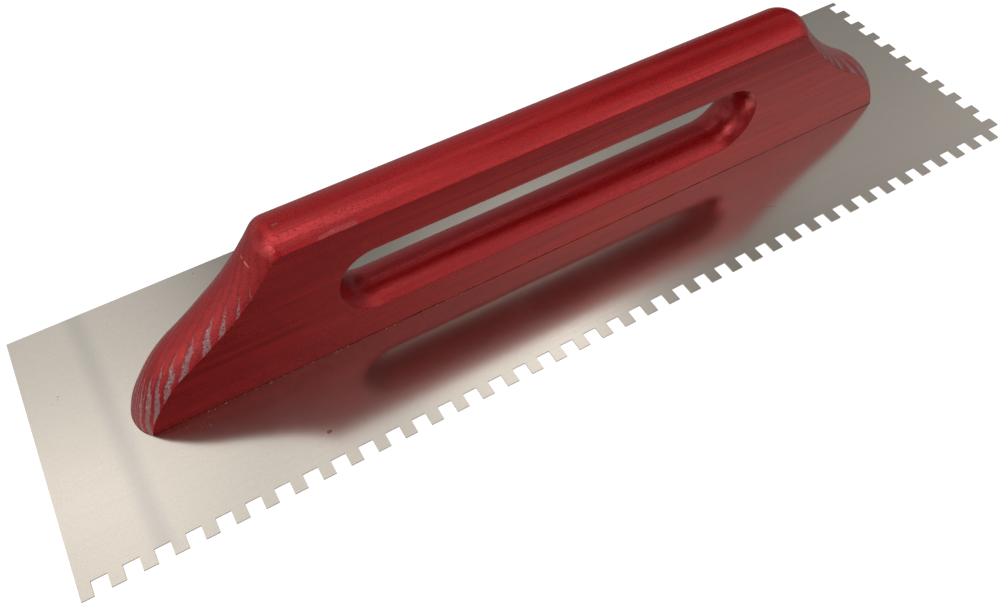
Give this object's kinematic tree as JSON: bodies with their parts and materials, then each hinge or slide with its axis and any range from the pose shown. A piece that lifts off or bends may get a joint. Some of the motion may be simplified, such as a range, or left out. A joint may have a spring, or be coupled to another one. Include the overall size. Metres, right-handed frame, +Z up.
{
  "type": "notched trowel",
  "caption": "Long flat steel trowel with square notches on one long edge and one short end, and a red wooden board handle with a finger slot.",
  "frame": {"origin": "middle of the blade's underside, which is the bottom centre of the whole tool's box", "axes": "+X along the blade towards its notched short end, +Y across the blade towards its plain long edge, +Z up from the blade through the handle"},
  "size_m": [0.48, 0.13, 0.0758],
  "materials": {
    "blade_steel": "satin rolled",
    "lacquered_wood": "red satin lacquer",
    "screw_steel": "bright zinc"
  },
  "bodies": {
    "root": {"blade": "blade_steel", "handle": "lacquered_wood", "handle_screws": "screw_steel"}
  },
  "joints": []
}
